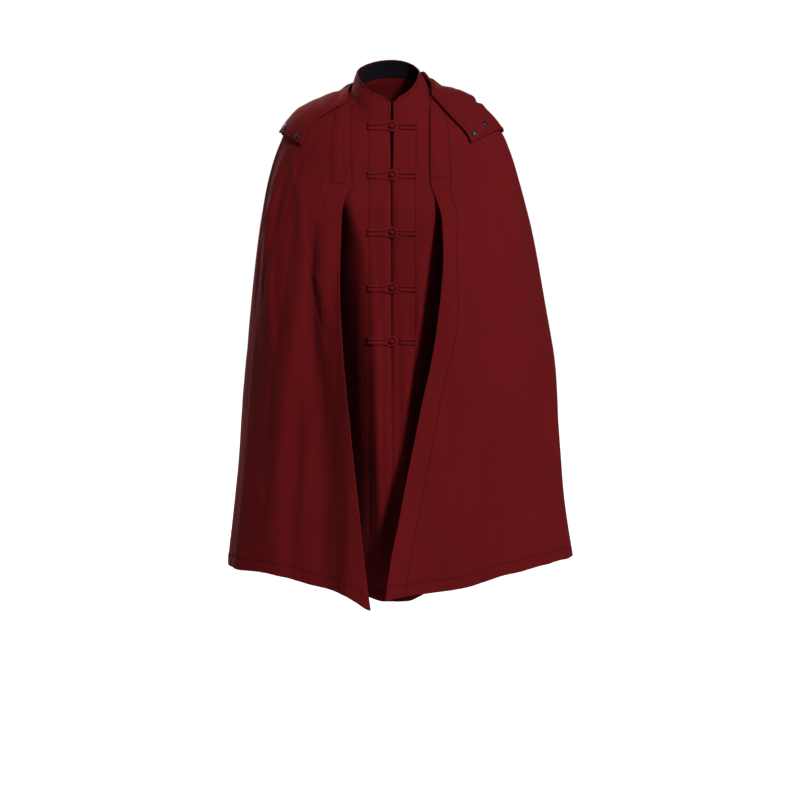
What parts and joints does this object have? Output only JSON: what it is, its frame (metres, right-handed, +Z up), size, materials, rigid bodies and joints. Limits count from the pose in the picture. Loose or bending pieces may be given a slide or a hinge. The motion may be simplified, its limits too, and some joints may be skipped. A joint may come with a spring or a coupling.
{
  "type": "monk cloak",
  "caption": "Long hooded winter cloak worn closed: standing collar, knotted frogs on hanging inner fronts, arm slits, hood thrown back with snap flaps over the shoulders.",
  "frame": {"origin": "between the shoulders at the height of the side of the neck seam, where the wearer's shoulders and neck carry the cloak", "axes": "+Z up, the front faces -Y, the wearer's left is +X"},
  "size_m": [0.8199, 0.5962, 1.2153],
  "materials": {
    "wine_wool": "dark wine-red wool coating, short brushed nap, matt",
    "dark_lining": "near-black plain lining inside the collar",
    "wine_cord": "cords sewn from the same wine-red cloth, lying a little flat",
    "gunmetal": "dark gunmetal press fasteners, satin with a soft highlight"
  },
  "bodies": {
    "root": {"back": "wine_wool", "collar": "wine_wool", "collar_lining": "dark_lining", "front_left": "wine_wool", "front_right": "wine_wool", "inner_front_left": "wine_wool", "inner_front_right": "wine_wool", "hood_left": "wine_wool", "hood_right": "wine_wool", "hood_flap_left": "wine_wool", "hood_flap_right": "wine_wool", "frog_1_loop": "wine_cord", "frog_2_loop": "wine_cord", "frog_3_loop": "wine_cord", "frog_4_loop": "wine_cord", "frog_5_loop": "wine_cord", "frog_1_button": "wine_cord", "frog_2_button": "wine_cord", "frog_3_button": "wine_cord", "frog_4_button": "wine_cord", "frog_5_button": "wine_cord", "snap_left_1": "gunmetal", "snap_left_2": "gunmetal", "snap_right_1": "gunmetal", "snap_right_2": "gunmetal"}
  },
  "joints": []
}
